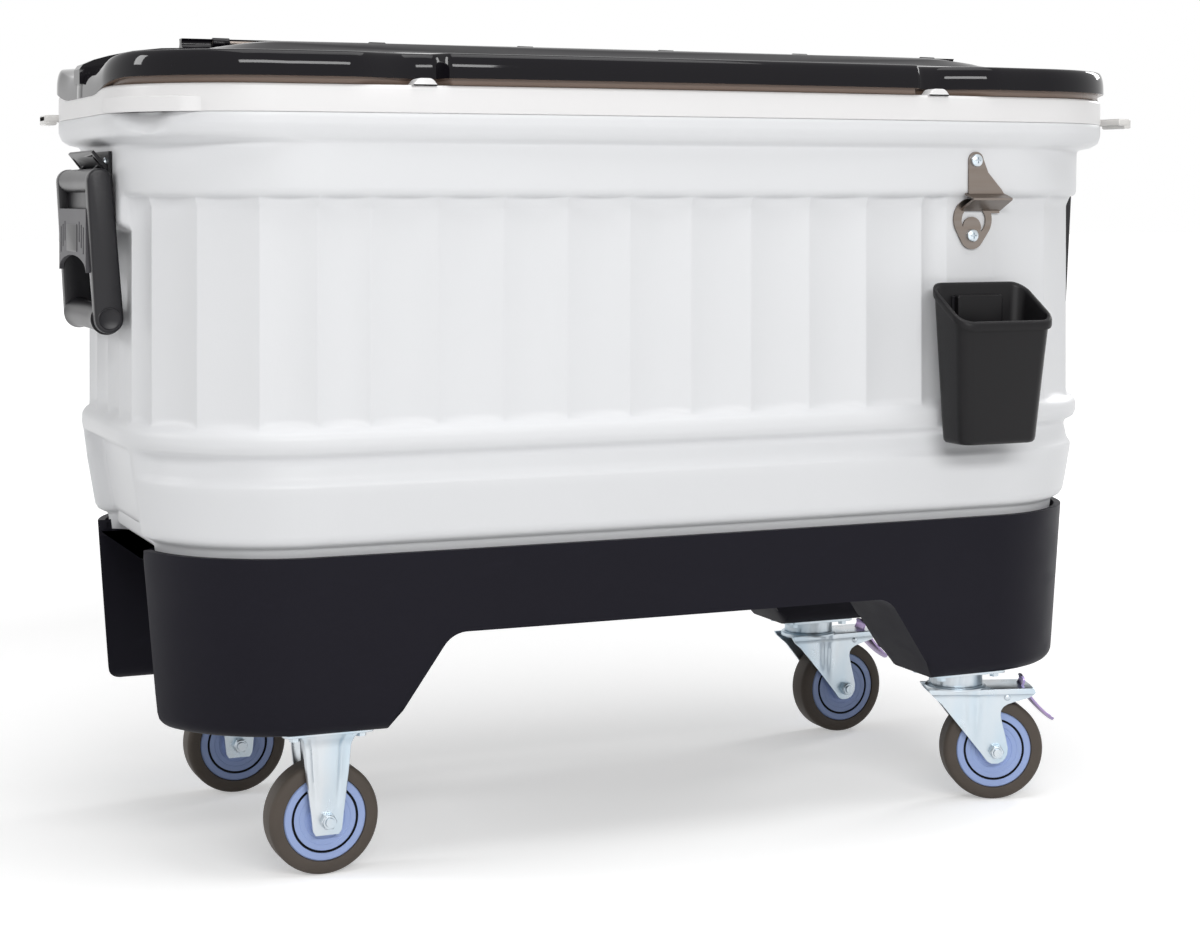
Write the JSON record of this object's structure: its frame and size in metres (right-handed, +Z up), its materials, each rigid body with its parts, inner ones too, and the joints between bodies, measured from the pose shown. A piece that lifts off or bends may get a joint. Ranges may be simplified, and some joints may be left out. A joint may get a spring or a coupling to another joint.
{
  "type": "wheeled ice chest",
  "caption": "Insulated party ice chest on a legged caster base, with smoked hinged lids, swing handles, a bottle opener and a catch bin.",
  "frame": {"origin": "on the ground, under the middle of the base and of the tub", "axes": "+X along the chest's length, towards the braked swivel casters; -Y faces the user at the opener and the bin; +Z up"},
  "size_m": [1.082, 0.545, 0.7618],
  "materials": {
    "white_tub": "satin",
    "foam": "matt",
    "white_liner": "satin",
    "dark_base": "satin",
    "smoked_lid": "glossy",
    "white_frame": "satin",
    "clear_tab": "translucent",
    "zinc": "bright zinc plated",
    "tinted_zinc": "purple tinted zinc plated",
    "stainless": "satin stainless",
    "tyre": "matt",
    "blue_hub": "satin",
    "black_plastic": "satin"
  },
  "bodies": {
    "chest": {"wheel_base": "dark_base", "base_screws": "zinc", "tub_shell": "white_tub", "insulation_foam": "foam", "tub_liner": "white_liner", "divider_left": "white_liner", "divider_right": "white_liner", "drain_spout": "black_plastic", "front_left_fork": "zinc", "front_left_axle": "zinc", "rear_left_fork": "zinc", "rear_left_axle": "zinc", "fixed_axle_nuts": "zinc", "front_right_plate": "zinc", "front_right_kingpin": "zinc", "rear_right_plate": "zinc", "rear_right_kingpin": "zinc", "caster_screws": "zinc", "left_handle_bracket": "black_plastic", "left_handle_pin": "stainless", "right_handle_bracket": "black_plastic", "right_handle_pin": "stainless", "handle_screws": "zinc", "bottle_opener": "stainless", "opener_screws": "zinc", "bin_bracket": "black_plastic", "bin_screws": "zinc"},
    "drain_stopper": {"drain_plug": "black_plastic"},
    "lid_carrier": {"lid_frame": "white_frame", "frame_tabs": "clear_tab", "hinge_beam": "smoked_lid", "front_hinge_pin": "stainless", "back_hinge_pin": "stainless"},
    "front_cover": {"front_lid": "smoked_lid"},
    "back_cover": {"back_lid": "smoked_lid"},
    "front_left_wheel": {"front_left_tyre": "tyre", "front_left_hub": "blue_hub"},
    "rear_left_wheel": {"rear_left_tyre": "tyre", "rear_left_hub": "blue_hub"},
    "front_right_swivel": {"front_right_fork": "zinc", "front_right_axle": "zinc", "front_right_nut": "zinc"},
    "front_right_wheel": {"front_right_tyre": "tyre", "front_right_hub": "blue_hub"},
    "front_right_pedal": {"front_right_brake": "tinted_zinc"},
    "rear_right_swivel": {"rear_right_fork": "zinc", "rear_right_axle": "zinc", "rear_right_nut": "zinc"},
    "rear_right_wheel": {"rear_right_tyre": "tyre", "rear_right_hub": "blue_hub"},
    "rear_right_pedal": {"rear_right_brake": "tinted_zinc"},
    "left_swing_handle": {"left_handle": "black_plastic", "left_grip": "black_plastic"},
    "right_swing_handle": {"right_handle": "black_plastic", "right_grip": "black_plastic"},
    "bin": {"catch_bin": "black_plastic"}
  },
  "joints": [
    {"name": "lid_carrier_lift", "type": "slide", "parent": "chest", "child": "lid_carrier", "axis": [0, 0, 1], "range_m": [0, 0.25]},
    {"name": "front_lid_hinge", "type": "hinge", "parent": "lid_carrier", "child": "front_cover", "pos_m": [0, -0.0095, 0.757], "axis": [-1, 0, 0], "range_deg": [0, 95]},
    {"name": "back_lid_hinge", "type": "hinge", "parent": "lid_carrier", "child": "back_cover", "pos_m": [0, 0.0095, 0.757], "axis": [1, 0, 0], "range_deg": [0, 95]},
    {"name": "left_handle_swing", "type": "hinge", "parent": "chest", "child": "left_swing_handle", "pos_m": [-0.5178, 0, 0.625], "axis": [0, 1, 0], "range_deg": [0, 90]},
    {"name": "right_handle_swing", "type": "hinge", "parent": "chest", "child": "right_swing_handle", "pos_m": [0.5178, 0, 0.625], "axis": [0, -1, 0], "range_deg": [0, 90]},
    {"name": "front_left_wheel_spin", "type": "hinge", "parent": "chest", "child": "front_left_wheel", "pos_m": [-0.334, -0.158, 0.051], "axis": [0, 1, 0], "continuous": true},
    {"name": "rear_left_wheel_spin", "type": "hinge", "parent": "chest", "child": "rear_left_wheel", "pos_m": [-0.334, 0.158, 0.051], "axis": [0, 1, 0], "continuous": true},
    {"name": "front_right_swivel_turn", "type": "hinge", "parent": "chest", "child": "front_right_swivel", "pos_m": [0.334, -0.158, 0.114], "axis": [0, 0, 1], "continuous": true},
    {"name": "rear_right_swivel_turn", "type": "hinge", "parent": "chest", "child": "rear_right_swivel", "pos_m": [0.334, 0.158, 0.114], "axis": [0, 0, 1], "continuous": true},
    {"name": "front_right_wheel_spin", "type": "hinge", "parent": "front_right_swivel", "child": "front_right_wheel", "pos_m": [0.36804, -0.16972, 0.051], "axis": [0.3256, 0.9455, 0], "continuous": true},
    {"name": "rear_right_wheel_spin", "type": "hinge", "parent": "rear_right_swivel", "child": "rear_right_wheel", "pos_m": [0.37, 0.158, 0.051], "axis": [0, 1, 0], "continuous": true},
    {"name": "front_right_brake_press", "type": "hinge", "parent": "front_right_swivel", "child": "front_right_pedal", "pos_m": [0.37938, -0.17363, 0.105], "axis": [0.3256, 0.9455, 0], "range_deg": [0, 12]},
    {"name": "rear_right_brake_press", "type": "hinge", "parent": "rear_right_swivel", "child": "rear_right_pedal", "pos_m": [0.382, 0.158, 0.105], "axis": [0, 1, 0], "range_deg": [0, 12]},
    {"name": "bin_lift", "type": "slide", "parent": "chest", "child": "bin", "axis": [0, 0, 1], "range_m": [0, 0.06]},
    {"name": "drain_plug_pull", "type": "slide", "parent": "chest", "child": "drain_stopper", "axis": [1, 0, 0], "range_m": [0, 0.06]}
  ]
}
